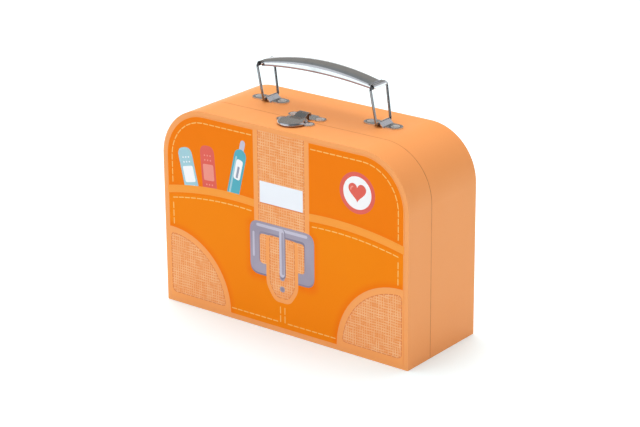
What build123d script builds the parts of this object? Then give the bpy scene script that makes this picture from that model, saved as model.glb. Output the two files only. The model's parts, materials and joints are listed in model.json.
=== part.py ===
"""A child's play suitcase of papered board, with a folding wire handle and a toggle lock.

Millimetres. +X is to the right of someone facing the front, +Y to the back, +Z up. The origin
is on the floor under the middle of the case. The front shell (the lid) and the deeper rear shell
meet at an upright seam, and the bottom paper is the hinge between them.
"""

import os
from math import cos, radians, sin

from build123d import *

os.makedirs("parts", exist_ok=True)

# ---- case -------------------------------------------------------------------------------------
case_width = 250.0
case_height = 175.0
case_depth = 93.0
lid_depth = 31.0                # front face to seam
top_corner_radius = 44.5
seam_gap = 0.3                  # dark line between the shells
board_thickness = 2.0
paper_thickness = 0.2
lining_thickness = 0.2
panel_fit = 0.05                # panel board inside its wall board
turn_over = 12.0                # wall paper folded on to a panel
sheet_margin = 4.2              # wall paper that shows round a panel sheet
neck_thickness = 1.2
neck_gap = 0.3                  # neck to the linings that it slides past
neck_reach = 6.0                # how far the neck stands into the lid
neck_depth = 22.0               # how far it goes back into the rear shell

# ---- rivets -----------------------------------------------------------------------------------
rivet_shank_radius = 1.5
rivet_hole_clearance = 0.1
rivet_head_radius = 3.9
rivet_head_height = 0.8
rivet_tail_radius = 2.4
rivet_tail_height = 0.8
washer_radius = 4.0
washer_thickness = 0.6
washer_gap = 0.05
washer_clearance = 0.5          # cut-out in the neck round a washer

# ---- handle -----------------------------------------------------------------------------------
bracket_corner_margin = 5.0     # end of a bracket to where the top starts to round off
bracket_setback = 28.9          # seam to the middle of a bracket
bracket_length = 36.0
bracket_ear_width = 12.6
bracket_sheet = 0.9
barrel_length = 14.4            # along the wire
barrel_foot = 5.4               # half the width where the barrel leaves the ears
wire_radius = 1.1
wire_clearance = 0.05
wire_height = 2.1               # wire centre over the case
loop_foot_width = 19.2          # leg centre to leg centre, at the bracket
loop_head_width = 22.0          # and at the grip
loop_height = 30.5              # pivot to pivot
loop_bend_radius = 2.1
loop_lean = 9.5                 # degrees towards -X, as it stands
grip_sheet = 0.8
grip_middle_half_width = 8.4
grip_end_half_width = 7.4
grip_middle_height = 8.1        # edge to crown
grip_end_height = 5.0
grip_middle_edge = 2.0          # edge over the pivots' line
grip_end_edge = -2.0
grip_end_gap = 2.0              # pivot to the end of the crown
grip_skirt_share = 0.5          # upright part of the section, of its height
grip_strap_overlap = 1.5        # end strap let into the crown
curl_length = 17.0              # along the wire
curl_slit = 0.4                 # where the sheet's edge meets itself

# ---- lock -------------------------------------------------------------------------------------
lock_sheet = 0.8
lock_x = -3.5                   # middle of the lock, a little left of the case's
lock_rivet_spacing = 26.4
lock_rivet_setback = 6.9        # seam to the front rivets
catch_rivet_setback = 8.5       # seam to the rear rivets
lock_ear_radius = 5.0
lever_radius = 12.5
lever_flat_radius = 10.7
lever_setback = 10.7            # seam to the middle of the disc
lever_top = 3.3                 # over the case
lever_rim_drop = 1.9
lever_notch_clearance = 0.35    # disc edge to the rivet heads
pin_radius = 0.7
pin_clearance = 0.05
pivot_setback = 2.5             # seam to the lever's pivot
pivot_height = 2.1
toggle_throw = 3.6              # lever pivot to claw pivot, forwards
toggle_drop = 0.5               # claw pivot below the lever pivot: over centre
claw_sheet = 0.7
claw_width = 10.4
claw_side_gap = 0.3
claw_crest = 5.6                # over the case
claw_tip_height = 2.2
cheek_thickness = 0.8
cheek_gap = 0.4
cheek_radius = 1.05             # metal round a pivot hole
lip_height = 3.6
lip_setback = 5.5               # seam to the front of the catch lip
hook_gap = 0.3                  # lip to the claw's hook
catch_reach = 6.5               # middle of the catch plate, each way from its rivets
plate_front_reach = 8.6         # lock plate in front of its rivets
window_lead = 1.9               # claw pivot to the front of the slots round the claw
pin_head = 0.4
claw_ramp = 2.9                 # crest's front end to the catch lip
claw_bend_radius = 1.2

# ---- places worked out from the sizes above ---------------------------------------------------
front_y = -case_depth / 2
rear_y = case_depth / 2
seam_y = front_y + lid_depth
lid_edge_y = seam_y - seam_gap / 2
base_edge_y = seam_y + seam_gap / 2
wall_inset = paper_thickness + board_thickness
room_inset = wall_inset + lining_thickness
neck_inset = room_inset + neck_gap
neck_stack = neck_inset + neck_thickness
panel_front_y = front_y + 2 * paper_thickness
panel_rear_y = rear_y - 2 * paper_thickness

bracket_spacing = case_width - 2 * (top_corner_radius + bracket_corner_margin) - bracket_length
bracket_y = seam_y + bracket_setback
bracket_xs = (-bracket_spacing / 2, bracket_spacing / 2)
ear_offset = bracket_length / 2 - bracket_ear_width / 2
pivot_z = case_height + wire_height
lean = radians(loop_lean)
grip_x = -loop_height * sin(lean)
grip_z = pivot_z + loop_height * cos(lean)

lock_rivet_y = seam_y - lock_rivet_setback
catch_rivet_y = seam_y + catch_rivet_setback
lever_y = seam_y - lever_setback
lever_pivot = (seam_y - pivot_setback, case_height + pivot_height)
claw_pivot = (lever_pivot[0] - toggle_throw, lever_pivot[1] - toggle_drop)
slot_half = claw_width / 2 + claw_side_gap
lever_cheek_x = slot_half
plate_cheek_x = lever_cheek_x + cheek_thickness + cheek_gap
plate_half = plate_cheek_x + cheek_thickness
lip_y = seam_y + lip_setback

bracket_rivet_xs = [x + side * ear_offset for x in bracket_xs for side in (-1, 1)]
lock_ear_xs = (-lock_rivet_spacing / 2, lock_rivet_spacing / 2)
lock_rivet_xs = [lock_x + x for x in lock_ear_xs]


def section_plane(y):
    """A plane across the case: local x is X, local y is Z, and extrude runs towards the front."""
    return Plane(origin=(0, y, 0), x_dir=(1, 0, 0), z_dir=(0, -1, 0))


def side_plane(x):
    """A plane from front to back: local x is Y, local y is Z, and extrude runs towards +X."""
    return Plane(origin=(x, 0, 0), x_dir=(0, 1, 0), z_dir=(1, 0, 0))


def outline(inset):
    """The case's face, flat at the bottom and round at the two top corners."""
    with BuildSketch() as face:
        with Locations((0, inset)):
            Rectangle(
                case_width - 2 * inset,
                case_height - 2 * inset,
                align=(Align.CENTER, Align.MIN),
            )
        fillet(face.vertices().group_by(Axis.Y)[-1], top_corner_radius - inset)
    return face.sketch


def ring(outer_inset, inner_inset, y_low, y_high, mode=Mode.ADD):
    """A closed band between two outlines, from y_low back to y_high."""
    with BuildSketch(section_plane(y_high)) as band:
        add(outline(outer_inset))
        add(outline(inner_inset), mode=Mode.SUBTRACT)
    extrude(band.sketch, amount=y_high - y_low, mode=mode)


def slab(inset, y_low, y_high, mode=Mode.ADD):
    """A flat sheet with the case's outline, from y_low back to y_high."""
    with BuildSketch(section_plane(y_high)) as face:
        add(outline(inset))
    extrude(face.sketch, amount=y_high - y_low, mode=mode)


def cut_below(z):
    """Takes away everything under height z."""
    split(bisect_by=Plane.XY.offset(z), keep=Keep.TOP)


def rivet_holes(places, y):
    """Through holes in a top wall, one under each rivet."""
    depth = bracket_sheet + neck_stack + washer_thickness
    with BuildSketch(Plane.XY.offset(case_height + bracket_sheet)) as holes:
        with Locations(*[(x, y) for x in places]):
            Circle(rivet_shank_radius + rivet_hole_clearance)
    extrude(holes.sketch, amount=-depth, mode=Mode.SUBTRACT)


def washer_cut_outs(places, y):
    """Room in the neck for washers on the lid, open towards the front."""
    half = washer_radius + washer_clearance
    with BuildSketch(Plane.XY.offset(case_height - room_inset)) as room:
        with Locations(*[(x, y) for x in places]):
            Circle(half)
            Rectangle(2 * half, neck_reach, align=(Align.CENTER, Align.MAX))
    extrude(room.sketch, amount=-(neck_stack - room_inset), mode=Mode.SUBTRACT)


def save(part, name):
    """Labels a finished piece and writes it to its own file."""
    part.label = name
    export_step(part, f"parts/{name}.step")


# ---- rear shell -------------------------------------------------------------------------------
with BuildPart() as rear_wall_board:
    ring(paper_thickness, wall_inset, base_edge_y, panel_rear_y)
    rivet_holes(bracket_rivet_xs, bracket_y)
    rivet_holes(lock_rivet_xs, catch_rivet_y)
save(rear_wall_board.part, "rear_wall_board")

with BuildPart() as rear_panel_board:
    slab(wall_inset + panel_fit, panel_rear_y - board_thickness, panel_rear_y)
save(rear_panel_board.part, "rear_panel_board")

with BuildPart() as rear_wall_paper:
    ring(0, paper_thickness, base_edge_y, panel_rear_y)
    ring(0, turn_over, panel_rear_y, panel_rear_y + paper_thickness)
    cut_below(paper_thickness)
    rivet_holes(bracket_rivet_xs, bracket_y)
    rivet_holes(lock_rivet_xs, catch_rivet_y)
save(rear_wall_paper.part, "rear_wall_paper")

with BuildPart() as rear_panel_sheet:
    slab(sheet_margin, panel_rear_y + paper_thickness, rear_y)
save(rear_panel_sheet.part, "rear_panel_sheet")

with BuildPart() as rear_lining:
    ring(wall_inset, room_inset, base_edge_y, panel_rear_y - board_thickness)
    slab(
        wall_inset,
        panel_rear_y - board_thickness - lining_thickness,
        panel_rear_y - board_thickness,
    )
    rivet_holes(bracket_rivet_xs, bracket_y)
    rivet_holes(lock_rivet_xs, catch_rivet_y)
save(rear_lining.part, "rear_lining")

with BuildPart() as inner_neck:
    ring(neck_inset, neck_inset + neck_thickness, seam_y - neck_reach, seam_y + neck_depth)
    cut_below(neck_inset + neck_thickness)
    rivet_holes(lock_rivet_xs, catch_rivet_y)
    washer_cut_outs(lock_rivet_xs, lock_rivet_y)
save(inner_neck.part, "inner_neck")

# ---- front shell, the lid ---------------------------------------------------------------------
with BuildPart() as lid_wall_board:
    ring(paper_thickness, wall_inset, panel_front_y, lid_edge_y)
    rivet_holes(lock_rivet_xs, lock_rivet_y)
save(lid_wall_board.part, "lid_wall_board")

with BuildPart() as lid_panel_board:
    slab(wall_inset + panel_fit, panel_front_y, panel_front_y + board_thickness)
save(lid_panel_board.part, "lid_panel_board")

with BuildPart() as lid_wall_paper:
    ring(0, paper_thickness, panel_front_y, lid_edge_y)
    ring(0, turn_over, panel_front_y - paper_thickness, panel_front_y)
    cut_below(paper_thickness)
    rivet_holes(lock_rivet_xs, lock_rivet_y)
save(lid_wall_paper.part, "lid_wall_paper")

with BuildPart() as lid_front_sheet:
    slab(sheet_margin, front_y, panel_front_y - paper_thickness)
save(lid_front_sheet.part, "lid_front_sheet")

with BuildPart() as lid_lining:
    ring(wall_inset, room_inset, panel_front_y + board_thickness, lid_edge_y)
    slab(
        wall_inset,
        panel_front_y + board_thickness,
        panel_front_y + board_thickness + lining_thickness,
    )
    rivet_holes(lock_rivet_xs, lock_rivet_y)
save(lid_lining.part, "lid_lining")

# ---- the bottom paper, which folds along the seam as the hinge ---------------------------------
hinge_leaves = {
    "rear_bottom_paper": (base_edge_y, panel_rear_y),
    "lid_bottom_paper": (panel_front_y, lid_edge_y),
}
for leaf_name, (leaf_low, leaf_high) in hinge_leaves.items():
    with BuildPart() as hinge_leaf:
        with BuildSketch():
            with Locations((0, (leaf_low + leaf_high) / 2)):
                Rectangle(case_width, leaf_high - leaf_low)
        extrude(amount=paper_thickness)
    save(hinge_leaf.part, leaf_name)


# ---- rivets and their washers -----------------------------------------------------------------
def rivet_set(places, y, sheet, stack):
    """Domed rivets through a metal sheet and stack below it, clenched under a washer."""
    top = case_height + sheet
    tail = case_height - stack - washer_thickness - 2 * washer_gap
    cap_radius = (rivet_head_radius**2 + rivet_head_height**2) / (2 * rivet_head_height)
    with BuildPart() as rivets:
        for x in places:
            with BuildSketch(Plane(origin=(x, y, 0), x_dir=(1, 0, 0), z_dir=(0, -1, 0))):
                with BuildLine():
                    Line((0, tail - rivet_tail_height), (rivet_tail_radius / 2, tail - rivet_tail_height))
                    Line((rivet_tail_radius / 2, tail - rivet_tail_height), (rivet_tail_radius, tail))
                    Polyline(
                        (rivet_tail_radius, tail),
                        (rivet_shank_radius, tail),
                        (rivet_shank_radius, top),
                        (rivet_head_radius, top),
                    )
                    RadiusArc(
                        (rivet_head_radius, top),
                        (0, top + rivet_head_height),
                        -cap_radius,
                    )
                    Line((0, top + rivet_head_height), (0, tail - rivet_tail_height))
                make_face()
            revolve(axis=Axis((x, y, 0), (0, 0, 1)))
    return rivets.part


def washer_set(places, y, stack):
    """Washers against the inside of a top wall."""
    with BuildPart() as washers:
        with BuildSketch(Plane.XY.offset(case_height - stack - washer_gap)):
            with Locations(*[(x, y) for x in places]):
                Circle(washer_radius)
                Circle(rivet_shank_radius + rivet_hole_clearance, mode=Mode.SUBTRACT)
        extrude(amount=-washer_thickness)
    return washers.part


rivet_rows = {
    "handle": (bracket_rivet_xs, bracket_y, bracket_sheet, room_inset),
    "lock": (lock_rivet_xs, lock_rivet_y, lock_sheet, room_inset),
    "catch": (lock_rivet_xs, catch_rivet_y, lock_sheet, neck_stack),
}
for row_name, (row_xs, row_y, row_sheet, row_stack) in rivet_rows.items():
    save(rivet_set(row_xs, row_y, row_sheet, row_stack), f"{row_name}_rivets")
    save(washer_set(row_xs, row_y, row_stack), f"{row_name}_washers")


# ---- handle brackets --------------------------------------------------------------------------
def bracket(x):
    """A riveted plate whose middle is pressed up into a barrel over the loop's wire."""
    inner = wire_radius + wire_clearance
    outer = inner + bracket_sheet
    barrel_back = bracket_y + barrel_length / 2
    barrel_plane = Plane(origin=(x, barrel_back, case_height), x_dir=(1, 0, 0), z_dir=(0, -1, 0))
    with BuildPart() as plate:
        with BuildSketch(Plane.XY.offset(case_height)):
            with Locations((x, bracket_y)):
                SlotOverall(bracket_length, bracket_ear_width)
        extrude(amount=bracket_sheet)
        for radius, foot, mode in (
            (outer, barrel_foot, Mode.ADD),
            (inner, barrel_foot - 1.5 * bracket_sheet, Mode.SUBTRACT),
        ):
            with BuildSketch(barrel_plane):
                with BuildLine():
                    CenterArc((0, wire_height), radius, 0, 360)
                    Line((-foot, 0), (foot, 0))
                make_hull()
            extrude(amount=barrel_length, mode=mode)
        with BuildSketch(Plane.XY.offset(case_height)):
            with Locations((x - ear_offset, bracket_y), (x + ear_offset, bracket_y)):
                Circle(rivet_shank_radius + rivet_hole_clearance)
        extrude(amount=bracket_sheet, mode=Mode.SUBTRACT)
    return plate.part


# ---- handle loops -----------------------------------------------------------------------------
def wire_loop(x):
    """A ring of wire from the bracket's barrel up to the grip's curl, a little wider there."""
    stand = Plane(
        origin=(x, bracket_y, pivot_z),
        x_dir=(0, 1, 0),
        z_dir=(cos(lean), 0, sin(lean)),
    )
    with BuildPart() as loop:
        with BuildLine(stand) as route:
            FilletPolyline(
                (0, 0),
                (loop_foot_width / 2, 0),
                (loop_head_width / 2, loop_height),
                (0, loop_height),
                radius=loop_bend_radius,
            )
        with BuildSketch(Plane(origin=route.line @ 0, z_dir=route.line % 0)):
            Circle(wire_radius)
        sweep()
        mirror(about=Plane.XZ.offset(-bracket_y))
    return loop.part


for side_name, side_x in zip(("left", "right"), bracket_xs):
    save(bracket(side_x), f"{side_name}_bracket")
    save(wire_loop(side_x), f"{side_name}_loop")


# ---- grip -------------------------------------------------------------------------------------
curl_inner = wire_radius + wire_clearance
curl_outer = curl_inner + grip_sheet
crown_half = bracket_spacing / 2 - grip_end_gap


def blend_to_end(x, middle, end):
    """A size of the grip's section at x: middle in the middle, end at the ends, a parabola."""
    return end + (middle - end) * (1 - (x / crown_half) ** 2)


def crown_section(x, wall, foot):
    """The face under the crown at x: upright edges with a half ellipse over them, less a wall."""
    half_width = blend_to_end(x, grip_middle_half_width, grip_end_half_width) - wall
    height = blend_to_end(x, grip_middle_height, grip_end_height) - wall
    edge = blend_to_end(x, grip_middle_edge, grip_end_edge)
    skirt = grip_skirt_share * height
    at = Plane(origin=(grip_x + x, bracket_y, grip_z + edge), x_dir=(0, 1, 0), z_dir=(1, 0, 0))
    with BuildSketch(at) as face:
        with BuildLine():
            EllipticalCenterArc((0, skirt), half_width, height - skirt, arc_size=180)
            Polyline((-half_width, skirt), (-half_width, -foot), (half_width, -foot), (half_width, skirt))
        make_face()
    return face.sketch


def end_wall(side):
    """The sheet pressed down from the end of the crown to its end strap."""
    with BuildPart() as wall:
        extrude(crown_section(side * crown_half, 0, 0), amount=-side * grip_sheet)
        cut_below(grip_z + curl_inner)
    return wall.part


crown_stations = [crown_half * step / 3 for step in range(-3, 4)]
with BuildPart() as grip:
    loft([crown_section(x, 0, 0) for x in crown_stations])
    loft([crown_section(x, grip_sheet, 1) for x in crown_stations], mode=Mode.SUBTRACT)
    for side, pivot_x in zip((-1, 1), (grip_x + bracket_xs[0], grip_x + bracket_xs[1])):
        strap_start = grip_x + side * (crown_half - grip_strap_overlap)
        with BuildSketch(section_plane(bracket_y + curl_length / 2)):
            with Locations(((strap_start + pivot_x) / 2, grip_z + curl_inner + grip_sheet / 2)):
                Rectangle(abs(pivot_x - strap_start), grip_sheet)
            with Locations((pivot_x, grip_z)):
                Circle(curl_outer)
        extrude(amount=curl_length)
        with BuildSketch(section_plane(bracket_y + curl_length / 2)):
            with Locations((pivot_x, grip_z)):
                Circle(curl_inner)
            with Locations(Location((pivot_x, grip_z), 90 + 45 * side)):
                Rectangle(2 * curl_outer, curl_slit, align=(Align.MIN, Align.CENTER))
        extrude(amount=curl_length, mode=Mode.SUBTRACT)
        add(end_wall(side))
save(grip.part, "grip")


# ---- lock: the plate and the lever on the lid -------------------------------------------------
def save_lock_part(part, name):
    """Saves a piece of the lock, drawn about its own middle, in its place on the case."""
    save(Pos(lock_x, 0, 0) * part, name)


def both_sides(x_inner, thickness, shape, mode=Mode.ADD):
    """The same upright cheek at x_inner and at -x_inner, from a sketch made for a side plane."""
    for x in (x_inner, -x_inner - thickness):
        with BuildSketch(side_plane(x)) as face:
            add(shape)
        extrude(face.sketch, amount=thickness, mode=mode)


def hull_of(circles, line):
    """The convex shape round some circles (centre, radius) and a straight line."""
    with BuildSketch() as shape:
        with BuildLine():
            for centre, radius in circles:
                CenterArc(centre, radius, 0, 360)
            Line(*line)
        make_hull()
    return shape.sketch


def pin_holes(centre, x_inner, thickness):
    """Holes for a pin through both cheeks."""
    with BuildSketch() as hole:
        with Locations(centre):
            Circle(pin_radius + pin_clearance)
    both_sides(x_inner, thickness, hole.sketch, Mode.SUBTRACT)


with BuildPart() as lock_plate:
    with BuildSketch(Plane.XY.offset(case_height)):
        with Locations((0, lock_rivet_y)):
            Rectangle(lock_rivet_spacing, 2 * lock_ear_radius - lock_sheet)
            Rectangle(
                2 * plate_half,
                plate_front_reach,
                align=(Align.CENTER, Align.MAX),
            )
            Rectangle(
                2 * plate_half,
                lever_pivot[0] + cheek_radius - lock_rivet_y,
                align=(Align.CENTER, Align.MIN),
            )
        with Locations(*[(x, lock_rivet_y) for x in lock_ear_xs]):
            Circle(lock_ear_radius)
            Circle(rivet_shank_radius + rivet_hole_clearance, mode=Mode.SUBTRACT)
        with Locations((0, claw_pivot[0] - window_lead)):
            Rectangle(
                2 * plate_cheek_x,
                case_depth,
                align=(Align.CENTER, Align.MIN),
                mode=Mode.SUBTRACT,
            )
    extrude(amount=lock_sheet)
    both_sides(
        plate_cheek_x,
        cheek_thickness,
        hull_of(
            [(lever_pivot, cheek_radius)],
            (
                (lever_pivot[0] - 2 * cheek_radius, case_height),
                (lever_pivot[0] + cheek_radius, case_height),
            ),
        ),
    )
    pin_holes(lever_pivot, plate_cheek_x, cheek_thickness)
save_lock_part(lock_plate.part, "lock_plate")

lever_top_z = case_height + lever_top
with BuildPart() as lock_lever:
    with BuildSketch(section_plane(lever_y)):
        with BuildLine():
            Polyline(
                (0, lever_top_z - lock_sheet),
                (0, lever_top_z),
                (lever_flat_radius, lever_top_z),
            )
            RadiusArc(
                (lever_flat_radius, lever_top_z),
                (lever_radius, lever_top_z - lever_rim_drop),
                lever_rim_drop,
            )
            Polyline(
                (lever_radius, lever_top_z - lever_rim_drop),
                (lever_radius - lock_sheet, lever_top_z - lever_rim_drop),
                (lever_flat_radius - lock_sheet / 2, lever_top_z - lock_sheet),
                (0, lever_top_z - lock_sheet),
            )
        make_face()
    revolve(axis=Axis((0, lever_y, 0), (0, 0, 1)))
    with BuildSketch(Plane.XY.offset(lever_top_z)):
        with Locations(*[(x, lock_rivet_y) for x in lock_ear_xs]):
            Circle(rivet_head_radius + lever_notch_clearance)
        with Locations((0, lever_pivot[0] - cheek_radius - cheek_gap)):
            Rectangle(2 * lever_radius, lever_radius, align=(Align.CENTER, Align.MIN))
        with Locations((0, claw_pivot[0] - window_lead)):
            Rectangle(2 * slot_half, lever_radius, align=(Align.CENTER, Align.MIN))
    extrude(amount=-lever_top, mode=Mode.SUBTRACT)
    both_sides(
        lever_cheek_x,
        cheek_thickness,
        hull_of(
            [(lever_pivot, cheek_radius), (claw_pivot, cheek_radius)],
            (
                (claw_pivot[0] - window_lead - cheek_thickness, lever_top_z - lock_sheet / 2),
                (lever_pivot[0] - cheek_radius - cheek_gap, lever_top_z - lock_sheet / 2),
            ),
        ),
    )
    pin_holes(lever_pivot, lever_cheek_x, cheek_thickness)
    pin_holes(claw_pivot, lever_cheek_x, cheek_thickness)
save_lock_part(lock_lever.part, "lock_lever")

with BuildPart() as lever_pins:
    with BuildSketch(side_plane(lever_cheek_x)):
        with Locations(lever_pivot):
            Circle(pin_radius)
    extrude(amount=plate_half - lever_cheek_x)
    with BuildSketch(side_plane(plate_half)):
        with Locations(lever_pivot):
            Circle(cheek_radius)
    extrude(amount=pin_head)
    mirror(about=Plane.YZ)
save_lock_part(lever_pins.part, "lever_pins")

with BuildPart() as claw_pin:
    with BuildSketch(side_plane(0)):
        with Locations(claw_pivot):
            Circle(pin_radius)
    extrude(amount=lever_cheek_x + cheek_thickness + cheek_gap / 2, both=True)
save_lock_part(claw_pin.part, "claw_pin")

# ---- lock: the claw, and the catch on the rear shell ------------------------------------------
knuckle_inner = pin_radius + pin_clearance
strap_z = claw_pivot[1] + knuckle_inner + claw_sheet / 2
crest_z = case_height + claw_crest - claw_sheet / 2
hook_y = lip_y + lock_sheet + hook_gap + claw_sheet / 2
with BuildPart() as claw:
    with BuildSketch(side_plane(-claw_width / 2)):
        with BuildLine():
            FilletPolyline(
                (claw_pivot[0], strap_z),
                (lever_pivot[0], strap_z),
                (lip_y - claw_ramp, crest_z),
                (hook_y, crest_z),
                (hook_y, case_height + claw_tip_height),
                radius=claw_bend_radius,
            )
        trace(line_width=claw_sheet)
        with Locations(claw_pivot):
            Circle(knuckle_inner + claw_sheet)
            Circle(knuckle_inner, mode=Mode.SUBTRACT)
    extrude(amount=claw_width)
save_lock_part(claw.part, "claw")

with BuildPart() as catch_plate:
    with BuildSketch(Plane.XY.offset(case_height)):
        with Locations((0, catch_rivet_y)):
            Rectangle(lock_rivet_spacing, 2 * lock_ear_radius - lock_sheet)
            Rectangle(2 * plate_half, 2 * catch_reach)
        with Locations(*[(x, catch_rivet_y) for x in lock_ear_xs]):
            Circle(lock_ear_radius)
            Circle(rivet_shank_radius + rivet_hole_clearance, mode=Mode.SUBTRACT)
    extrude(amount=lock_sheet)
    with BuildSketch(Plane.XY.offset(case_height)):
        with Locations((0, lip_y)):
            Rectangle(claw_width - 2 * lock_sheet, lock_sheet, align=(Align.CENTER, Align.MIN))
    extrude(amount=lip_height)
save_lock_part(catch_plate.part, "catch_plate")
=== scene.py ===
"""How the play suitcase looks: papered board shells, a printed front and bright pressed metal.

Metres, in the frame of the CAD model: +X to the right of someone facing the front, +Y to the
back, +Z up, with the origin on the floor under the middle of the case. Sizes of the print are
typed in millimetres.
"""

import json
from math import atan2, cos, hypot, pi, radians, sin

import bmesh
import bpy
from mathutils import Matrix, Vector
from mathutils.geometry import delaunay_2d_cdt

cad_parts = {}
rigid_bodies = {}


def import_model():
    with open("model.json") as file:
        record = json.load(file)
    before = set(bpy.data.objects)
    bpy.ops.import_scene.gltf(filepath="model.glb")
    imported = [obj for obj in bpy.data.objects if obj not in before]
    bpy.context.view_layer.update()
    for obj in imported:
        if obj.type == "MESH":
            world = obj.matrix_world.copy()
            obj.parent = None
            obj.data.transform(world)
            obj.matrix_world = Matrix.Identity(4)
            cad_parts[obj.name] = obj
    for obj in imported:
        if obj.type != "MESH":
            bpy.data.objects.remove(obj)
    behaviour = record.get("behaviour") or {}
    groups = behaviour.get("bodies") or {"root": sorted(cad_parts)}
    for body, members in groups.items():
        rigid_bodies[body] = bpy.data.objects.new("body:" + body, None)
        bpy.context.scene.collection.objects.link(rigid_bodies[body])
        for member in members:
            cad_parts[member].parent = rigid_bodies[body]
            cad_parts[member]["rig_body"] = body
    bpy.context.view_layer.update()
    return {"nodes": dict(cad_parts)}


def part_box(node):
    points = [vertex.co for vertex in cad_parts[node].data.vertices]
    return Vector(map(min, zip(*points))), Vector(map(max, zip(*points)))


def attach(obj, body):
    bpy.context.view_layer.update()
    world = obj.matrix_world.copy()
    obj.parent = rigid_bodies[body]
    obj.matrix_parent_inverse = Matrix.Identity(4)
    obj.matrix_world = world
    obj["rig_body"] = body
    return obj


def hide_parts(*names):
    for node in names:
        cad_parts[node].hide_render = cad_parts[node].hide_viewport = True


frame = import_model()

nodes = frame["nodes"]
MM = 0.001

# ---- sizes of the case and of its print, in millimetres -----------------------------------------
case_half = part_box("lid_wall_paper")[1].x / MM
case_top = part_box("lid_wall_paper")[1].z / MM
seam_y = (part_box("lid_wall_paper")[1].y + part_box("rear_wall_paper")[0].y) / 2 / MM
top_corner_radius = 44.5
sheet_margin = case_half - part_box("lid_front_sheet")[1].x / MM
plain_edge = 0.7                # unprinted edge of a sheet
seam_shade_edge = (0.6, 0.2)           # from the seam: where the painted shade line ends and is full

stitch_inset = 9.7              # case edge to the stitching round the front
stitch_length = 4.6
stitch_gap = 1.8
stitch_width = 0.9
seam_stitch_length = 3.4        # the darker stitching on the woven pieces
seam_stitch_gap = 1.5
seam_stitch_width = 0.7

patch_centre = (118.0, 5.0)     # corner patches, mirrored left and right
patch_radius = 62.8
patch_band = 5.6                # plain band round the weave
patch_edge = 119.0              # outer side of the weave
patch_foot = 9.0                # lower side of the weave
patch_round = 4.0
over_patch = patch_centre[1] + patch_radius + 3         # where stitching stops short of a patch
before_patch = patch_centre[0] - patch_radius - 1.5
back_middle = 2.0               # half the gap in the back's stitching, at the middle
weave_pitch = 2.3
dot_pitch = 9.0                 # dots of the lining
dot_edge = (1.35, 1.15)         # from a dot's middle: where its ink ends and is full

strap_half = 28.3
strap_weave_half = 23.4
label_half = 22.0
label_low, label_high = 110.2, 128.5
label_round = 0.4
label_shadow = 0.8              # how far the line under it shows

hem_centre = (50.7, -208.2)     # the pocket hems are bands of a large circle, mirrored
hem_radius = 320.0
hem_width = 6.6
divider_half = 2.3              # double stitching between the pockets

thermometer_foot = (-53.0, 100.0)
thermometer_tilt = -14
plasters = (                    # foot, tilt, ink and the ink of the pad
    (-74.0, 97.0, 4, "coral", "coral_light"),
    (-91.0, 92.0, 13, "pale_blue", "white"),
)

badge_centre = (76.0, 138.5)
badge_radius = 17.2
badge_ring = 3.6
heart_half = 8.6                # half the width of the heart

buckle_centre = (0.0, 70.5)
buckle_half = (33.0, 23.0)
buckle_round = 9.0
buckle_bar = 10.0               # width of its frame
tip_half = 16.5                 # free end of the strap, over the lower bar of the buckle
tip_low = 27.0
tip_edge = 3.8                  # plain edge round its weave
eyelets = (39.0, 49.0)          # heights of its two holes

patch_shadow = 7.0              # widths of the printed shadows on the ground
strap_shadow = 6.0
hem_shadow = 9.0
hem_under_shadow = 3.5
buckle_shadow = (11.0, 3.0)     # from a core inside its edge: where it ends and is full

head_radius = 3.9               # rivet heads
handle_rivet_offset = 11.7      # middle of a bracket to its rivets
lock_rivet_offset = 13.2        # middle of the lock to its rivets
grip_span = 55.5                # half the length of the handle's crown
grip_arch = 4.0                 # how far its lower edge rises in the middle
rim_edge = (1.7, 1.1)           # above that edge: where the painted reflection on the rim ends and is full
curl_half = 8.5                 # half the length of the curls at its ends

# ---- colours as they look on screen -------------------------------------------------------------
WALL = (252, 168, 98)
WALL_DRIFT = (251, 165, 94)
# painted shade along the seam between the two shells
SEAM_SHADE = (150, 84, 44)
GROUND = (250, 137, 2)
GROUND_SHADE = (248, 120, 2)
PLAIN = (253, 170, 99)
HEM = (255, 163, 67)
WEAVE_LIGHT = (253, 197, 146)
WEAVE_DARK = (243, 148, 78)
STITCH = (255, 200, 112)
SEAM_STITCH = (226, 126, 74)
CORAL = (233, 108, 96)
WHITE = (255, 252, 253)
LABEL = (247, 250, 255)
METAL_INK = (176, 168, 186)
METAL_LIGHT = (208, 204, 220)
METAL_DARK = (134, 127, 146)
TEAL = (96, 182, 198)
PALE_BLUE = (172, 212, 222)
LINING = (250, 240, 226)
LINING_DRIFT = (244, 229, 208)
LINING_DOT = (247, 190, 140)
GREYBOARD = (176, 170, 160)
GREYBOARD_FLECK = (140, 134, 124)
NECK = (244, 190, 140)
NECK_FLECK = (232, 168, 112)
SEAT_SHADE = (70, 66, 66)       # painted shade and dirt round a rivet's head
RIM_SHADE = (128, 66, 48)       # painted reflection of the case in the handle's lower rim
# painted shade in the open ends of the handle's curls
CURL_SHADE = (26, 24, 24)

ALONG, EVEN, DOWN = (8, 1, 1), (1, 1, 1), (1, 1, 10)    # how drawing marks run in metal
METALS = {                      # colour, roughness, marks, colour of the dull patches
    "bright_plate": ((232, 233, 235), 0.12, ALONG, (206, 207, 210)),
    "seated_plate": ((230, 231, 233), 0.26, ALONG, (200, 202, 205)),
    "claw_plate": ((190, 189, 190), 0.14, ALONG, (160, 159, 160)),
    "bright_wire": ((146, 145, 147), 0.16, DOWN, (124, 123, 126)),
    "rivet_metal": ((236, 236, 236), 0.15, EVEN, (214, 214, 214)),
    "washer_metal": ((178, 179, 180), 0.32, EVEN, (150, 150, 152)),
}


def linear(rgb):
    """A screen colour as the linear values that shaders take."""
    values = [c / 255 for c in rgb]
    return [v / 12.92 if v <= 0.04045 else ((v + 0.055) / 1.055) ** 2.4 for v in values] + [1.0]


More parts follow.
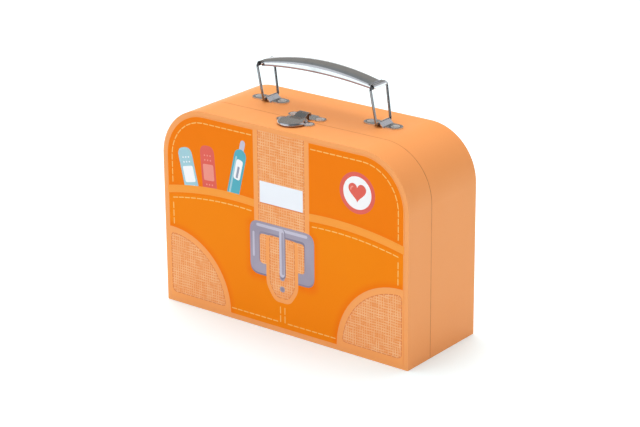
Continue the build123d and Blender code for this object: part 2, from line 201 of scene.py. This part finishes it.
# ---- camera, floor and light --------------------------------------------------------------------
camera_azimuth, camera_elevation, camera_roll = 37.747, 20.330, -0.443
camera_distance = 1.7737
camera_lens = 120.97
camera_target = (-0.0031, 0.0082, 0.0879)

floor_half = 3.0
floor_white = (0.95, 0.95, 0.95)
floor_glow = (0.35, 0.88, 1.0)  # evens out the orange that the case throws on the floor
floor_glow_strength = 0.27

room_shade = (0.12, 0.12, 0.125)
room_lights = (                 # towards, where each starts and is full (cosines), colour
    ((-0.57, 0.02, 0.82), 0.60, 0.90, (0.24, 0.255, 0.26)),
    ((-0.58, 0.72, 0.36), 0.70, 0.95, (0.29, 0.28, 0.26)),
    ((0.50, 0.72, 0.48), 0.74, 0.95, (0.53, 0.53, 0.56)),
    ((-0.50, -0.80, 0.42), 0.72, 0.88, (0.64, 0.66, 0.71)),
)
sweep_side = (-0.50, 0.87, 0.0)  # where the white floor curves up behind the case
sweep_height = (-0.22, -0.10)   # cosines from straight down: where the white ends and is full
sweep_white = (0.95, 0.95, 0.95)
suns = (                        # name, towards, strength, angle, colour
    ("overhead", (-0.30, 0.25, 1.0), 2.70, 75, (1, 1, 1)),
    ("front_fill", (-0.35, -1.0, 0.55), 0.34, 40, (1, 0.95, 0.92)),
    ("right_fill", (1.0, -0.30, 0.50), 0.36, 40, (1, 0.48, 0.20)),
)


def make_camera():
    """The photo's viewpoint, as fitted to the edges of the case."""
    azimuth, elevation, roll = (
        radians(angle) for angle in (camera_azimuth, camera_elevation, camera_roll)
    )
    back = Vector((sin(azimuth) * cos(elevation), -cos(azimuth) * cos(elevation), sin(elevation)))
    side = Vector((cos(azimuth), sin(azimuth), 0))
    top = back.cross(side)
    right = cos(roll) * side + sin(roll) * top
    up = cos(roll) * top - sin(roll) * side
    data = bpy.data.cameras.new("camera")
    data.lens = camera_lens
    camera = bpy.data.objects.new("camera", data)
    turn = Matrix((right, up, back)).transposed().to_4x4()
    camera.matrix_world = Matrix.Translation(Vector(camera_target) + camera_distance * back) @ turn
    bpy.context.scene.collection.objects.link(camera)
    bpy.context.scene.camera = camera


def make_sun(name, towards, strength, angle, colour):
    """A broad soft light from far away, which no metal mirrors."""
    data = bpy.data.lights.new(name, "SUN")
    data.energy = strength
    data.angle = radians(angle)
    data.color = colour
    light = bpy.data.objects.new(name, data)
    light.rotation_euler = Vector(towards).to_track_quat("Z", "Y").to_euler()
    light.visible_glossy = False
    bpy.context.scene.collection.objects.link(light)


def make_world():
    """A dim room, brighter in places, with a white sweep behind the case for metal to mirror."""
    world = bpy.data.worlds.new("studio")
    world.use_nodes = True
    bpy.context.scene.world = world
    tree = world.node_tree
    direction = tree.nodes.new("ShaderNodeTexCoord").outputs["Generated"]

    def facing(aim, low, high):
        """1 where a direction lies within high (a cosine) of an aim, down to 0 at low."""
        product = tree.nodes.new("ShaderNodeVectorMath")
        product.operation = "DOT_PRODUCT"
        tree.links.new(direction, product.inputs[0])
        product.inputs[1].default_value = Vector(aim).normalized()
        made = tree.nodes.new("ShaderNodeMapRange")
        made.interpolation_type = "SMOOTHSTEP"
        tree.links.new(product.outputs["Value"], made.inputs["Value"])
        made.inputs["From Min"].default_value = low
        made.inputs["From Max"].default_value = high
        return made.outputs["Result"]

    def blend(amount, below, shade):
        """The room so far, or its bare shade, with a shade laid over it."""
        made = tree.nodes.new("ShaderNodeMix")
        made.data_type = "RGBA"
        tree.links.new(amount, made.inputs[0])
        if below is None:
            made.inputs[6].default_value = (*room_shade, 1)
        else:
            tree.links.new(below, made.inputs[6])
        made.inputs[7].default_value = (*shade, 1)
        return made.outputs[2]

    colour = None
    for aim, edge, core, shade in room_lights:
        colour = blend(facing(aim, edge, core), colour, shade)
    sweep = tree.nodes.new("ShaderNodeMath")
    sweep.operation = "MULTIPLY"
    tree.links.new(facing((0, 0, -1), *sweep_height), sweep.inputs[0])
    tree.links.new(facing(sweep_side, 0.0, 0.5), sweep.inputs[1])
    colour = blend(sweep.outputs[0], colour, sweep_white)
    tree.links.new(colour, tree.nodes["Background"].inputs["Color"])


def make_studio():
    """The pale floor and the soft lights."""
    signs = ((-1, -1), (1, -1), (1, 1), (-1, 1))
    mesh = bpy.data.meshes.new("floor")
    mesh.from_pydata([(floor_half * x, floor_half * y, 0) for x, y in signs], [], [(0, 1, 2, 3)])
    floor = bpy.data.objects.new("floor", mesh)
    bpy.context.scene.collection.objects.link(floor)
    paint = bpy.data.materials.new("floor_paint")
    paint.use_nodes = True
    surface = paint.node_tree.nodes["Principled BSDF"]
    surface.inputs["Base Color"].default_value = (*floor_white, 1)
    surface.inputs["Roughness"].default_value = 0.7
    surface.inputs["Specular IOR Level"].default_value = 0.1
    surface.inputs["Emission Color"].default_value = (*floor_glow, 1)
    surface.inputs["Emission Strength"].default_value = floor_glow_strength
    mesh.materials.append(paint)
    for sun in suns:
        make_sun(*sun)
    bpy.context.scene.view_settings.view_transform = "Standard"


# ---- shader helpers -----------------------------------------------------------------------------
class Field:
    """A shader value that is added, scaled and compared as a number is."""

    def __init__(self, shader, socket):
        self.shader, self.socket = shader, socket

    def __add__(self, other):
        return self.shader.math("ADD", self, other)

    def __sub__(self, other):
        return self.shader.math("SUBTRACT", self, other)

    def __mul__(self, other):
        return self.shader.math("MULTIPLY", self, other)

    def __abs__(self):
        return self.shader.math("ABSOLUTE", self)

    def larger(self, other):
        return self.shader.math("MAXIMUM", self, other)

    def smaller(self, other):
        return self.shader.math("MINIMUM", self, other)

    def root(self):
        return self.shader.math("SQRT", self)


def far(across, up):
    """The distance that two offsets at right angles make."""
    return (across * across + up * up).root()


class Shader:
    """A procedural material; x, y and z are the surface's own place in millimetres."""

    def __init__(self, name):
        self.material = bpy.data.materials.new(name)
        self.material.use_nodes = True
        self.tree = self.material.node_tree
        self.surface = self.tree.nodes["Principled BSDF"]
        place = self.node("ShaderNodeTexCoord").outputs["Object"]
        scaled = self.node("ShaderNodeVectorMath", operation="SCALE")
        self.tree.links.new(place, scaled.inputs[0])
        scaled.inputs["Scale"].default_value = 1 / MM
        self.place = scaled.outputs[0]
        split = self.node("ShaderNodeSeparateXYZ")
        self.tree.links.new(self.place, split.inputs[0])
        self.x, self.y, self.z = (Field(self, split.outputs[k]) for k in range(3))

    def node(self, kind, **settings):
        """A new node with its settings."""
        made = self.tree.nodes.new(kind)
        for key, value in settings.items():
            setattr(made, key, value)
        return made

    def put(self, socket, value):
        """Links a field or a socket, or sets a plain value."""
        if isinstance(value, Field):
            value = value.socket
        if isinstance(value, bpy.types.NodeSocket):
            self.tree.links.new(value, socket)
        else:
            socket.default_value = value

    def math(self, operation, *values):
        """The result of a calculation on fields and numbers."""
        made = self.node("ShaderNodeMath", operation=operation)
        for socket, value in zip(made.inputs, values):
            self.put(socket, value)
        return Field(self, made.outputs[0])

    def ramp(self, value, low, high):
        """0 below low and 1 above high, with a soft step between them."""
        made = self.node("ShaderNodeMapRange", interpolation_type="SMOOTHSTEP")
        self.put(made.inputs["Value"], value)
        self.put(made.inputs["From Min"], low)
        self.put(made.inputs["From Max"], high)
        return Field(self, made.outputs["Result"])

    def noise(self, size, detail=2.0, stretch=(1, 1, 1)):
        """Noise whose blots are about size millimetres across, drawn out along an axis."""
        shaped = self.node("ShaderNodeVectorMath", operation="MULTIPLY")
        self.put(shaped.inputs[0], self.place)
        shaped.inputs[1].default_value = [1 / s for s in stretch]
        made = self.node("ShaderNodeTexNoise")
        self.put(made.inputs["Vector"], shaped.outputs[0])
        made.inputs["Scale"].default_value = 1 / size
        made.inputs["Detail"].default_value = detail
        return Field(self, made.outputs["Fac"])

    def mix(self, amount, first, second):
        """The colour between two others."""
        made = self.node("ShaderNodeMix", data_type="RGBA")
        self.put(made.inputs[0], amount)
        self.put(made.inputs[6], first)
        self.put(made.inputs[7], second)
        return made.outputs[2]

    def colour(self, value):
        """Sets the surface's colour; what is laid over it later starts from self.base."""
        self.base = value
        self.put(self.surface.inputs["Base Color"], value)

    def finish(self, **values):
        """Sets sockets of the surface by their names, with _ for a space."""
        for key, value in values.items():
            self.put(self.surface.inputs[key.replace("_", " ")], value)

    def bump(self, height, depth, before=None):
        """Raises the surface by height times depth millimetres."""
        made = self.node("ShaderNodeBump")
        self.put(made.inputs["Height"], height)
        made.inputs["Distance"].default_value = depth * MM
        made.inputs["Strength"].default_value = 1.0
        if before is not None:
            self.put(made.inputs["Normal"], before)
        self.put(self.surface.inputs["Normal"], made.outputs[0])
        return made.outputs[0]


# ---- paper and board ----------------------------------------------------------------------------
def coated_paper(shader, roughness=0.46, gloss=0.07):
    """The finish of art paper glued to board: a little gloss, fine tooth and a broad ripple."""
    wear = shader.noise(14, 3)
    shader.finish(Roughness=wear * 0.16 + (roughness - 0.08), Specular_IOR_Level=gloss)
    ripple = shader.bump(shader.noise(38, 1), 0.35)
    shader.bump(shader.noise(0.45, 2), 0.012, ripple)


def drifting(shader, rgb, tint, drift=0.5):
    """One colour that drifts a little towards a tint."""
    broad = shader.ramp(shader.noise(46, 2), 0.3, 0.75) * drift
    tooth = shader.ramp(shader.noise(0.8, 2), 0.35, 0.7) * 0.10
    return shader.mix(broad + tooth, linear(rgb), linear(tint))


def paper(name, *look):
    """A printed paper of one colour."""
    shader = Shader(name)
    shader.colour(drifting(shader, *look))
    coated_paper(shader)
    return shader.material


def wall_covering(name):
    """The plain paper round the walls, with a painted shade line, broken up by noise, where the
    two shells meet.
    """
    shader = Shader(name)
    plain = drifting(shader, WALL, WALL_DRIFT)
    # painted shade in the seam between the shells, broken up by noise
    line = shader.ramp(abs(shader.y - seam_y), *seam_shade_edge)
    painted_seam_shade = line * (shader.noise(7, 2) * 0.5 + 0.05)
    shader.colour(shader.mix(painted_seam_shade, plain, linear(SEAM_SHADE)))
    coated_paper(shader, 0.40, 0.20)
    return shader.material


def woven_ink(name):
    """A printed weave: rows and columns of pale threads, broken here and there."""
    shader = Shader(name)
    wander = shader.noise(12, 2) * 1.6
    rows = []
    for across, stretch in ((shader.x, (1, 1, 7)), (shader.z, (7, 1, 1))):
        phase = shader.math("FRACT", (across + wander) * (1 / weave_pitch))
        thread = shader.ramp(abs(phase - 0.5), 0.36, 0.10)
        worn = shader.ramp(shader.noise(1.3, 2, stretch), 0.34, 0.60)
        rows.append(thread * (worn * 0.75 + 0.25))
    cloud = shader.ramp(shader.noise(11, 2), 0.25, 0.8)
    threads = rows[0].larger(rows[1]) * (cloud * 0.35 + 0.65)
    shader.colour(shader.mix(threads, linear(WEAVE_DARK), linear(WEAVE_LIGHT)))
    coated_paper(shader)
    return shader.material


def ground_ink(name, shaded):
    """The strong orange of the panels, darker where a printed piece throws a soft shadow."""
    shader = Shader(name)
    side = abs(shader.x)
    ripple = shader.ramp(shader.noise(60, 1), 0.3, 0.8) * 0.15
    patch = far(side - patch_centre[0], shader.z - patch_centre[1]) - patch_radius
    shade = shader.ramp(patch, patch_shadow, 0.0) * 0.8
    if shaded:
        strap = shader.ramp(side - strap_half, strap_shadow, 0.0) * 0.5
        strap = strap * shader.ramp(shader.z, buckle_centre[1] - 4, buckle_centre[1] + 4)
        hem = far(side - hem_centre[0], shader.z - hem_centre[1]) - hem_radius
        over = shader.ramp(hem, hem_shadow, 0.0) * shader.ramp(hem, -1.0, 0.0)
        under = shader.ramp(hem + hem_width, -hem_under_shadow, 0.0) * 0.5
        beside = (side - (buckle_half[0] - 4)).larger(0)
        above = (abs(shader.z - (buckle_centre[1] - 2)) - (buckle_half[1] - 4)).larger(0)
        buckle = far(beside, above)
        shade = shade.larger(strap).larger(over * 0.8).larger(under)
        shade = shade.larger(shader.ramp(buckle, *buckle_shadow) * 0.9)
    shader.colour(shader.mix((shade + ripple).smaller(1.0), linear(GROUND), linear(GROUND_SHADE)))
    coated_paper(shader)
    return shader.material


def board(name, rgb, fleck):
    """Bare grey board or card: pressed fibres with darker flecks."""
    shader = Shader(name)
    fibres = shader.noise(0.9, 4, (1, 4, 1))
    specks = shader.ramp(shader.noise(0.6, 2), 0.6, 0.7) * 0.5
    shader.colour(shader.mix((fibres * 0.6 + specks).smaller(1.0), linear(rgb), linear(fleck)))
    shader.finish(Roughness=0.9, Specular_IOR_Level=0.15)
    shader.bump(fibres, 0.06)
    return shader.material


def lining(name):
    """Pale lining paper with a small printed dot."""
    shader = Shader(name)
    cells = []
    for value in (shader.x + shader.y, shader.z + shader.y):
        wrapped = shader.math("FRACT", value * (1 / dot_pitch))
        cells.append((wrapped - 0.5) * dot_pitch)
    ink = shader.ramp(far(*cells), *dot_edge) * 0.8
    ground = shader.mix(shader.noise(20, 2), linear(LINING), linear(LINING_DRIFT))
    shader.colour(shader.mix(ink, ground, linear(LINING_DOT)))
    coated_paper(shader, 0.6)
    return shader.material


# ---- metal --------------------------------------------------------------------------------------
def metal(kind, name=None):
    """Bright plated sheet or wire: faint drawing marks, dull patches and a slight waviness."""
    rgb, roughness, grain, dull = METALS[kind]
    shader = Shader(name or kind)
    marks = shader.noise(0.35, 2, grain)
    patches = shader.ramp(shader.noise(5, 3), 0.45, 0.75)
    shader.colour(shader.mix(patches * 0.35, linear(rgb), linear(dull)))
    dulled = patches * 0.10 + marks * 0.06 + (roughness - 0.04)
    shader.finish(Roughness=dulled, Metallic=1.0)
    soft = shader.bump(shader.noise(3.0, 1), 0.02)
    shader.bump(marks, 0.0035, soft)
    return shader


def seated_plate(name, *rivets):
    """Pressed plate, darker with painted shade and dirt in the narrow seat round each rivet head.
    """
    shader = metal("seated_plate", name)
    for x, y in rivets:
        away = far(shader.x - x, shader.y - y)
        # painted shade and dirt in the seat round the head
        seat = shader.ramp(away, head_radius + 0.9, head_radius + 0.3)
        shader.colour(shader.mix(seat * 0.8, shader.base, linear(SEAT_SHADE)))
    return shader.material


def grip_metal(name):
    """The handle's bright sheet, with a painted reflection of the case on its rolled lower rim and
    painted shade in the open ends of its curls.
    """
    shader = metal("bright_plate", name)
    corners = [Vector(c) / MM for c in nodes["grip"].bound_box]
    low, middle = min(c.z for c in corners), sum(corners, Vector()) / 8
    share = (shader.x - middle.x) * (1 / grip_span)
    edge = (share * share) * -grip_arch + (low + grip_arch)
    # painted reflection of the orange case on the lower rim
    rim = shader.ramp(shader.z - edge, *rim_edge) * shader.ramp(abs(share), 1.02, 0.99)
    # painted shade on the end faces of the curls
    end = shader.ramp(abs(shader.y - middle.y), curl_half - 0.12, curl_half - 0.05)
    shader.colour(shader.mix(rim * 0.85, shader.base, linear(RIM_SHADE)))
    shader.colour(shader.mix(end, shader.base, linear(CURL_SHADE)))
    return shader.material


# ---- outlines, in millimetres on the face of the case -------------------------------------------
def arc(centre, radius, start, end, steps=12):
    """Points of a circle from one angle to another, in degrees, ends included."""
    angles = [radians(start + (end - start) * k / steps) for k in range(steps + 1)]
    return [(centre[0] + radius * cos(a), centre[1] + radius * sin(a)) for a in angles]


def outline(inset):
    """The case's face less an inset: flat at the bottom, round at the two top corners."""
    half, top, radius = case_half - inset, case_top - inset, top_corner_radius - inset
    corners = [(-half, inset), (half, inset)]
    corners += arc((half - radius, top - radius), radius, 0, 90, 20)
    corners += arc((radius - half, top - radius), radius, 90, 180, 20)
    return corners


def softened(points, radius, steps=5):
    """A closed outline with its sharper corners rounded off."""
    made = []
    for k, corner in enumerate(points):
        here = Vector(corner)
        before, after = Vector(points[k - 1]), Vector(points[(k + 1) % len(points)])
        back, on = before - here, after - here
        turn = pi - back.angle(on)
        if turn < 0.5:
            made.append(tuple(here))
            continue
        start = here + back.normalized() * min(radius, back.length * 0.5)
        end = here + on.normalized() * min(radius, on.length * 0.5)
        for step in range(steps + 1):
            t = step / steps
            made.append(tuple((1 - t) ** 2 * start + 2 * t * (1 - t) * here + t * t * end))
    return made


def box(centre, half, radius=0.0):
    """A rectangle with rounded corners."""
    x, z = centre
    corners = [(x - half[0], z - half[1]), (x + half[0], z - half[1])]
    corners += [(x + half[0], z + half[1]), (x - half[0], z + half[1])]
    return softened(corners, radius) if radius else corners


def turned(points, centre, degrees):
    """The same outline turned about a point."""
    c, s = cos(radians(degrees)), sin(radians(degrees))
    moved = [(x - centre[0], z - centre[1]) for x, z in points]
    return [(centre[0] + c * x - s * z, centre[1] + s * x + c * z) for x, z in moved]


def mirrored(points):
    """The same outline on the other side, still running anticlockwise."""
    return [(-x, z) for x, z in reversed(points)]


def capsule(start, end, width, steps=3):
    """A dash with round ends."""
    lean = atan2(end[1] - start[1], end[0] - start[0]) * 180 / pi
    return arc(end, width / 2, lean - 90, lean + 90, steps) + arc(
        start, width / 2, lean + 90, lean + 270, steps
    )


def dashes(path, length, gap, width, closed=False):
    """Stitches of one length spread evenly along a path, drawn out a little to fill it."""
    points = path + path[:1] if closed else path
    spans = [hypot(b[0] - a[0], b[1] - a[1]) for a, b in zip(points, points[1:])]

    def at(distance):
        """The point this far along the path."""
        for a, b, span in zip(points, points[1:], spans):
            if distance <= span:
                share = distance / span
                return (a[0] + share * (b[0] - a[0]), a[1] + share * (b[1] - a[1]))
            distance -= span
        return points[-1]

    reach = sum(spans) + (0 if closed else gap)
    count = max(1, round(reach / (length + gap)))
    pitch = reach / count
    dash = length * (pitch / (length + gap))
    return [capsule(at(k * pitch), at(k * pitch + dash), width) for k in range(count)]


# ---- the print ----------------------------------------------------------------------------------
def close_behind(work, back_y):
    """Gives a flat sheet its edges and its back, in the order of its rim, alike in each run."""
    rim = [e.link_loops[0] for e in work.edges if len(e.link_faces) == 1]
    after = {side.vert: side for side in rim}
    path = [rim[0]]
    while path[-1].link_loop_next.vert is not path[0].vert:
        path.append(after[path[-1].link_loop_next.vert])
    foot = [work.verts.new((side.vert.co.x, back_y, side.vert.co.z)) for side in path]
    for k, side in enumerate(path):
        ahead = (k + 1) % len(path)
        wall = work.faces.new((path[ahead].vert, side.vert, foot[k], foot[ahead]))
        wall.material_index = side.face.material_index
    work.faces.new(foot)


class Print:
    """Flat shapes laid over each other on a sheet; the last one laid is the one that shows."""

    def __init__(self):
        self.shapes = []
        self.lay("plain", outline(sheet_margin))
        self.lay("ground", outline(sheet_margin + plain_edge))

    def lay(self, ink, *shapes):
        """Lays shapes over all that is there."""
        self.shapes += [(shape, ink) for shape in shapes]

    def both(self, ink, *shapes):
        """Lays each shape and its mirror image."""
        for shape in shapes:
            self.lay(ink, shape, mirrored(shape))

    def stitch(self, path):
        """Pale stitching on both sides."""
        self.both("stitch", *dashes(path, stitch_length, stitch_gap, stitch_width))

    def seam(self, path, closed=False):
        """Darker stitching on both sides, for the woven pieces."""
        sizes = seam_stitch_length, seam_stitch_gap, seam_stitch_width
        self.both("seam_stitch", *dashes(path, *sizes, closed))

    def sheet(self, name, face_y, back_y, inks):
        """The printed sheet as one closed mesh, each face in the ink that shows there."""
        flip = 1 if face_y < back_y else -1
        inks = {ink: inks[ink] for ink in inks if ink in {laid for _, laid in self.shapes}}
        points, faces = [], []
        for shape, _ in self.shapes:
            faces.append(list(range(len(points), len(points) + len(shape))))
            points += [Vector(p) for p in shape]
        made = delaunay_2d_cdt(points, [], faces, 1, 1e-5)
        corners, triangles, owners = made[0], made[2], made[5]
        order = list(inks)
        mesh = bpy.data.meshes.new(name)
        work = bmesh.new()
        rows = [work.verts.new((flip * c.x * MM, face_y, c.y * MM)) for c in corners]
        for triangle, owner in zip(triangles, owners):
            if 0 not in owner:
                continue
            face = work.faces.new([rows[k] for k in triangle])
            face.material_index = order.index(self.shapes[max(owner)][1])
        loose = [v for v in work.verts if not v.link_faces]
        bmesh.ops.delete(work, geom=loose, context="VERTS")
        close_behind(work, back_y)
        bmesh.ops.recalc_face_normals(work, faces=work.faces)
        work.to_mesh(mesh)
        work.free()
        for ink in order:
            mesh.materials.append(inks[ink])
        sheet = bpy.data.objects.new(name, mesh)
        bpy.context.scene.collection.objects.link(sheet)
        return sheet


def patch_outline():
    """The woven part of the right corner patch."""
    inner = patch_radius - patch_band
    low = (patch_foot - patch_centre[1]) / inner
    side = (patch_edge - patch_centre[0]) / inner
    first, last = 90 - side * 180 / pi, 180 - low * 180 / pi
    curve = arc(patch_centre, inner, first, last, 20)
    return softened([(patch_edge, patch_foot)] + curve, patch_round)


def corner_patches(art):
    """A woven patch in a plain band at each lower corner."""
    art.both("plain", arc(patch_centre, patch_radius, 0, 360, 72)[:-1])
    weave = patch_outline()
    art.both("weave", weave)
    art.seam(weave, closed=True)


def border_path(low_z, end_x):
    """The stitching's route from low_z at the right side, over the corner, to end_x at the top."""
    inset = stitch_inset
    half, top, radius = case_half - inset, case_top - inset, top_corner_radius - inset
    return [(half, low_z)] + arc((half - radius, top - radius), radius, 0, 90, 16) + [(end_x, top)]


def hem_arc(radius, first_x, last_x, steps=16):
    """The part of a hem's circle between two places across the face."""
    xs = [first_x + (last_x - first_x) * k / steps for k in range(steps + 1)]
    depth = [(radius**2 - (x - hem_centre[0]) ** 2) ** 0.5 for x in xs]
    return [(x, hem_centre[1] + d) for x, d in zip(xs, depth)]


def pockets(art):
    """A pocket each side of the strap, with a light hem and stitched edges."""
    outside = case_half - sheet_margin + 1
    band = hem_arc(hem_radius - hem_width, strap_half, outside)
    band += hem_arc(hem_radius, outside, strap_half)
    edge = sheet_margin + plain_edge
    front = [(strap_half, edge), (case_half - edge, edge)]
    front += hem_arc(hem_radius - hem_width / 2, case_half - edge, strap_half)
    art.both("ground", front)
    art.both("hem", band)
    inside = case_half - stitch_inset
    below = hem_arc(hem_radius - hem_width - 4.2, strap_half + 3, inside)
    art.stitch(below)
    art.stitch([(inside, below[-1][1] - stitch_length), (inside, over_patch)])
    art.stitch([(divider_half, tip_low - 4), (divider_half, stitch_inset)])
    art.stitch([(divider_half + 3, stitch_inset), (before_patch, stitch_inset)])
    above = hem_arc(hem_radius, inside, inside)[0][1] + 3
    art.stitch(border_path(above, strap_half + 2))


def strap(art):
    """The woven strap down the middle, with a bare label."""
    top, low = case_top, buckle_centre[1]
    middle, half = (top + low) / 2, (top - low) / 2
    art.lay("plain", box((0, middle), (strap_half, half)))
    art.lay("weave", box((0, middle), (strap_weave_half, half)))
    art.seam([(strap_weave_half, top - sheet_margin), (strap_weave_half, low)])
    middle, half = (label_low + label_high) / 2, (label_high - label_low) / 2
    art.lay("seam_stitch", box((0, middle - label_shadow), (label_half, half), label_round))
    art.lay("label", box((0, middle), (label_half, half), label_round))


def tongue(wide, narrow, low, shoulder, top, radius):
    """The outline of a strap's end: straight sides, then in from the shoulders to a flat tip."""
    left = [(-wide, top), (-wide, shoulder), (-narrow, low)]
    return softened(left + [(-x, z) for x, z in reversed(left)], radius)


def buckle(art):
    """A plain frame buckle with a prong, and the strap's free end over its lower bar."""
    x, z = buckle_centre
    wide, high = buckle_half
    art.lay("metal_dark", box((x, z - 0.7), (wide, high), buckle_round))
    art.lay("metal", box((x, z + 0.4), (wide, high - 0.4), buckle_round))
    shine = z + high - 3.4
    art.lay("metal_light", capsule((x - wide + 8, shine), (x + wide - 8, shine), 2.6, 6))
    shine = x - wide + 3.6
    art.lay("metal_light", capsule((shine, z + high - 11), (shine, z - 8), 2.0, 6))
    hole = (wide - buckle_bar, high - buckle_bar)
    art.lay("metal_dark", box((x, z + 0.8), (hole[0] + 0.8, hole[1] + 0.8), 4))
    art.lay("weave", box((x, z - 0.4), hole, 3.5))
    top = z + high - buckle_bar
    art.lay("plain", tongue(tip_half, 8, tip_low, tip_low + 13, top, 5))
    edge = tongue(tip_half - tip_edge, 6.2, tip_low + 4, tip_low + 14.5, top, 4)
    art.lay("weave", edge)
    art.seam(edge[: len(edge) // 2])
    for height in eyelets:
        art.lay("metal", arc((0, height), 2.6, 0, 360, 20)[:-1])
        art.lay("metal_dark", arc((0, height), 1.5, 0, 360, 16)[:-1])
    foot = z - high + 4.5
    art.lay("metal_dark", capsule((0.5, z + high - 5.5), (0.5, foot - 0.5), 6.4, 8))
    art.lay("metal_light", capsule((0, z + high - 5), (0, foot), 5.2, 8))
    art.lay("metal", capsule((0.9, z + high - 6), (0.9, foot + 1), 2.4, 6))


def badge(art):
    """A round badge with a heart."""
    art.lay("coral", arc(badge_centre, badge_radius, 0, 360, 64)[:-1])
    art.lay("white", arc(badge_centre, badge_radius - badge_ring, 0, 360, 56)[:-1])
    x, z = badge_centre
    scale = heart_half / 16
    steps = 48
    heart = []
    for k in range(steps):
        t = 2 * pi * k / steps
        across = 16 * sin(t) ** 3
        upward = 13 * cos(t) - 5 * cos(2 * t) - 2 * cos(3 * t) - cos(4 * t)
        heart.append((across, upward + 2.2))
    heart.reverse()
    art.lay("coral", [(x + across * scale, z + upward * scale) for across, upward in heart])
    shine = arc((x - 4.0, z + 2.4), 2.3, 100, 190, 6)
    for a, b in zip(shine, shine[1:]):
        art.lay("coral_light", capsule(a, b, 1.1, 3))


def instruments(art):
    """A thermometer and two plasters that stand in the left pocket."""
    x, z = foot = thermometer_foot
    for ink, shape in (
        ("metal_light", capsule((x, z + 46), (x, z + 58), 5.0, 6)),
        ("teal", capsule((x, z + 8), (x, z + 46), 12.5, 8)),
        ("pale_blue", capsule((x - 3.6, z + 12), (x - 3.6, z + 44), 1.8, 5)),
        ("white", box((x + 0.6, z + 34), (3.4, 9.0), 2.4)),
        ("metal_ink_soft", box((x + 0.6, z + 31.5), (1.1, 5.2), 0.8)),
    ):
        art.lay(ink, turned(shape, foot, thermometer_tilt))
    for x, z, tilt, ink, pad in plasters:
        strip = box((x, z + 24), (7.6, 26.0), 7.0)
        art.lay(ink, turned(strip, (x, z), tilt))
        art.lay(pad, turned(box((x, z + 27), (5.6, 7.0), 1.6), (x, z), tilt))
        for row in (12.5, 16.5, 37.5, 41.5):
            for column in (-3, 0, 3):
                hole = arc((x + column, z + row), 0.75, 0, 360, 8)[:-1]
                art.lay(pad, turned(hole, (x, z), tilt))


def front_print():
    """The whole front, from what lies deepest to what lies on top."""
    art = Print()
    for lay in (instruments, badge, pockets, corner_patches, strap, buckle):
        lay(art)
    return art


def back_print():
    """The back: the same ground, stitching and corner patches."""
    art = Print()
    corner_patches(art)
    art.stitch(border_path(over_patch, back_middle))
    art.stitch([(back_middle, stitch_inset), (before_patch, stitch_inset)])
    return art


# ---- pieces -------------------------------------------------------------------------------------
def stand_in(piece, node):
    """The piece takes a CAD node's place on its body."""
    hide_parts(node)
    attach(piece, nodes[node]["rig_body"])


def make_prints():
    """The two printed sheets."""
    inks = {
        "ground": ground_ink("ground_ink", True),
        "plain": paper("plain_ink", PLAIN, (252, 166, 97)),
        "hem": paper("hem_ink", HEM, (252, 158, 63)),
        "weave": woven_ink("woven_ink"),
        "stitch": paper("stitch_ink", STITCH, (255, 186, 96)),
        "seam_stitch": paper("seam_stitch_ink", SEAM_STITCH, (236, 140, 88)),
        "coral": paper("coral_ink", CORAL, (226, 92, 80)),
        "coral_light": paper("coral_light_ink", (246, 162, 148), CORAL, 0.2),
        "white": paper("white_ink", WHITE, LABEL),
        "label": paper("label_ink", LABEL, (238, 240, 252)),
        "metal": paper("metal_ink", METAL_INK, METAL_DARK, 0.4),
        "metal_light": paper("metal_light_ink", METAL_LIGHT, METAL_INK, 0.3),
        "metal_dark": paper("metal_dark_ink", METAL_DARK, METAL_INK, 0.3),
        "metal_ink_soft": paper("window_ink", (150, 160, 178), METAL_INK, 0.3),
        "teal": paper("teal_ink", TEAL, (80, 168, 186)),
        "pale_blue": paper("pale_blue_ink", PALE_BLUE, (156, 200, 214)),
    }
    low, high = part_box("lid_front_sheet")
    front = front_print().sheet("printed_front", low.y, high.y, inks)
    stand_in(front, "lid_front_sheet")
    inks["ground"] = ground_ink("back_ground_ink", False)
    low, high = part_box("rear_panel_sheet")
    back = back_print().sheet("printed_back", high.y, low.y, inks)
    stand_in(back, "rear_panel_sheet")


def dress(material, *names):
    """Puts a material on CAD nodes."""
    for name in names:
        for entry in nodes[name].material_slots:
            entry.material = material


def middle_of(name):
    """The middle of a node, as x and y in millimetres."""
    low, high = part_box(name)
    return (low.x + high.x) / 2 / MM, (low.y + high.y) / 2 / MM


def dress_nodes():
    """The CAD nodes that stay, each in its own material."""
    covering = wall_covering("wall_paper")
    dress(covering, "lid_wall_paper", "rear_wall_paper", "lid_bottom_paper", "rear_bottom_paper")
    grey = board("greyboard", GREYBOARD, GREYBOARD_FLECK)
    dress(grey, "rear_wall_board", "rear_panel_board", "lid_wall_board", "lid_panel_board")
    dress(lining("lining_paper"), "rear_lining", "lid_lining")
    dress(board("neck_card", NECK, NECK_FLECK), "inner_neck")
    dress(metal("bright_plate").material, "lock_lever")
    dress(metal("claw_plate").material, "claw")
    dress(metal("bright_wire").material, "left_loop", "right_loop")
    rivet = metal("rivet_metal")
    rivet.finish(Metallic=0.7)
    dress(rivet.material, "handle_rivets", "lock_rivets", "catch_rivets", "lever_pins", "claw_pin")
    washer = metal("washer_metal").material
    dress(washer, "handle_washers", "lock_washers", "catch_washers")
    dress(grip_metal("grip_plate"), "grip")
    for name in ("left_bracket", "right_bracket"):
        x, y = middle_of(name)
        seats = [(x + side * handle_rivet_offset, y) for side in (-1, 1)]
        dress(seated_plate(name + "_plate", *seats), name)
    for name, rivets in (("lock_plate", "lock_rivets"), ("catch_plate", "catch_rivets")):
        x, y = middle_of(rivets)
        seats = [(x + side * lock_rivet_offset, y) for side in (-1, 1)]
        dress(seated_plate(name + "_metal", *seats), name)


make_camera()
make_world()
make_studio()
make_prints()
dress_nodes()
